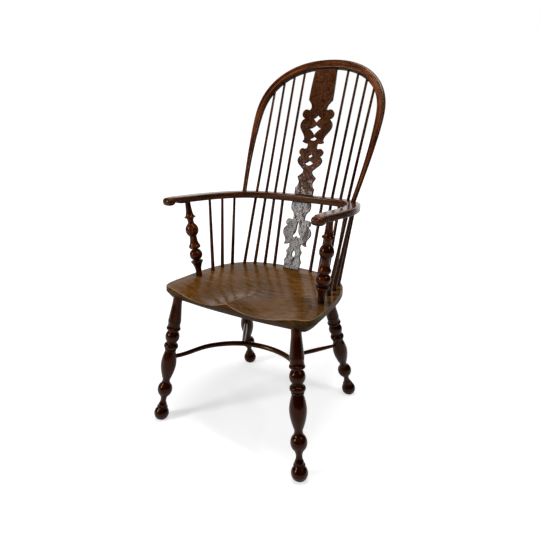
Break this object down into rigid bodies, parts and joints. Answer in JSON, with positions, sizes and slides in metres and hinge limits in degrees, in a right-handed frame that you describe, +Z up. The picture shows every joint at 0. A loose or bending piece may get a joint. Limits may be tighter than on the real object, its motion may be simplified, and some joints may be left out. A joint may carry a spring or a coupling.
{
  "type": "windsor armchair",
  "caption": "High-backed Windsor armchair with a saddled seat, a bent arm bow and hoop, turned legs and arm posts, plain spindles, a fretted splat and a bowed stretcher.",
  "frame": {"origin": "centre of the chair's bounding box, on the floor under its feet", "axes": "+Z up, -Y the way the chair faces, +X towards the right hand of someone looking at its front; it is mirror symmetric about X = 0"},
  "size_m": [0.5404, 0.6534, 1.1388],
  "materials": {
    "seat": "polished",
    "bows": "polished",
    "turnings": "polished",
    "stretchers": "polished",
    "spindles": "polished",
    "splats": "polished"
  },
  "bodies": {
    "root": {"seat": "seat", "arm_bow": "bows", "back_hoop": "bows", "front_leg_left": "turnings", "front_leg_right": "turnings", "back_leg_left": "turnings", "back_leg_right": "turnings", "arm_post_left": "turnings", "arm_post_right": "turnings", "stretcher_bow": "stretchers", "stretcher_spur_left": "stretchers", "stretcher_spur_right": "stretchers", "side_spindle_left_front": "spindles", "side_spindle_left_middle": "spindles", "side_spindle_left_rear": "spindles", "side_spindle_right_front": "spindles", "side_spindle_right_middle": "spindles", "side_spindle_right_rear": "spindles", "back_spindle_left_1": "spindles", "back_spindle_left_2": "spindles", "back_spindle_left_3": "spindles", "back_spindle_left_4": "spindles", "back_spindle_right_1": "spindles", "back_spindle_right_2": "spindles", "back_spindle_right_3": "spindles", "back_spindle_right_4": "spindles", "lower_splat": "splats", "upper_splat": "splats"}
  },
  "joints": []
}
